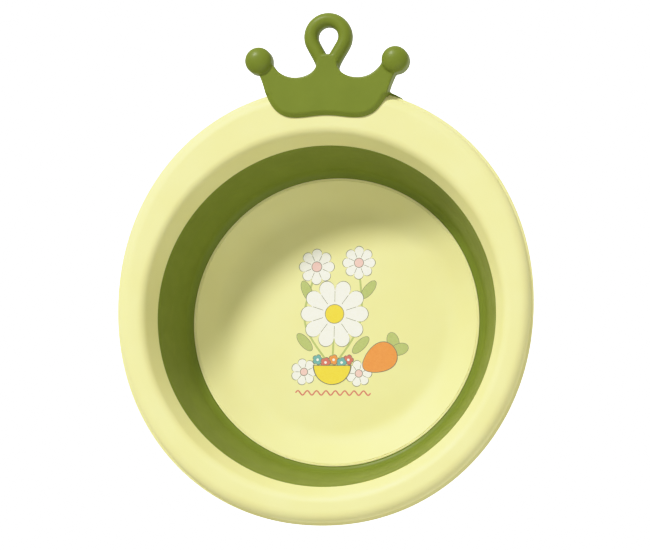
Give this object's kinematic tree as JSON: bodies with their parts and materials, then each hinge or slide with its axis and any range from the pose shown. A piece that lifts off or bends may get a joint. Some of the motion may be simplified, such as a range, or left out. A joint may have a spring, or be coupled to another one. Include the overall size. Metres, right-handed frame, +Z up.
{
  "type": "folding baby wash basin",
  "caption": "Shallow round folding baby wash basin: rigid rim and base joined by a soft fold-down band, with a soft crown-shaped handle and hanging loop.",
  "frame": {"origin": "centre of the footprint (middle of the width and of the overall length) on the resting plane under the feet", "axes": "+Z up out of the bowl; +Y towards the crown handle and hanging loop; +X to the right seen from above with the handle away from the viewer"},
  "size_m": [0.304, 0.3714, 0.0933],
  "materials": {
    "cream_plastic": "satin moulded polypropylene",
    "olive_rubber": "matte soft moulded elastomer"
  },
  "bodies": {
    "base": {"base_bowl": "cream_plastic", "band_bottom_cuff": "olive_rubber", "foot_pad_1": "olive_rubber", "foot_pad_2": "olive_rubber", "foot_pad_3": "olive_rubber", "foot_pad_4": "olive_rubber"},
    "band": {"band_fold_wall": "olive_rubber"},
    "rim": {"rim_ring": "cream_plastic", "crown_handle": "olive_rubber", "band_top_cuff": "olive_rubber"}
  },
  "joints": [
    {"name": "collapse", "type": "slide", "parent": "base", "child": "rim", "axis": [0, 0, -1], "range_m": [0, 0.058]},
    {"name": "band_fold", "type": "slide", "parent": "base", "child": "band", "axis": [0, 0, -1], "range_m": [0, 0.029]}
  ],
  "couplings": [
    {"joint": "band_fold", "follows": "collapse", "ratio": 0.5}
  ]
}
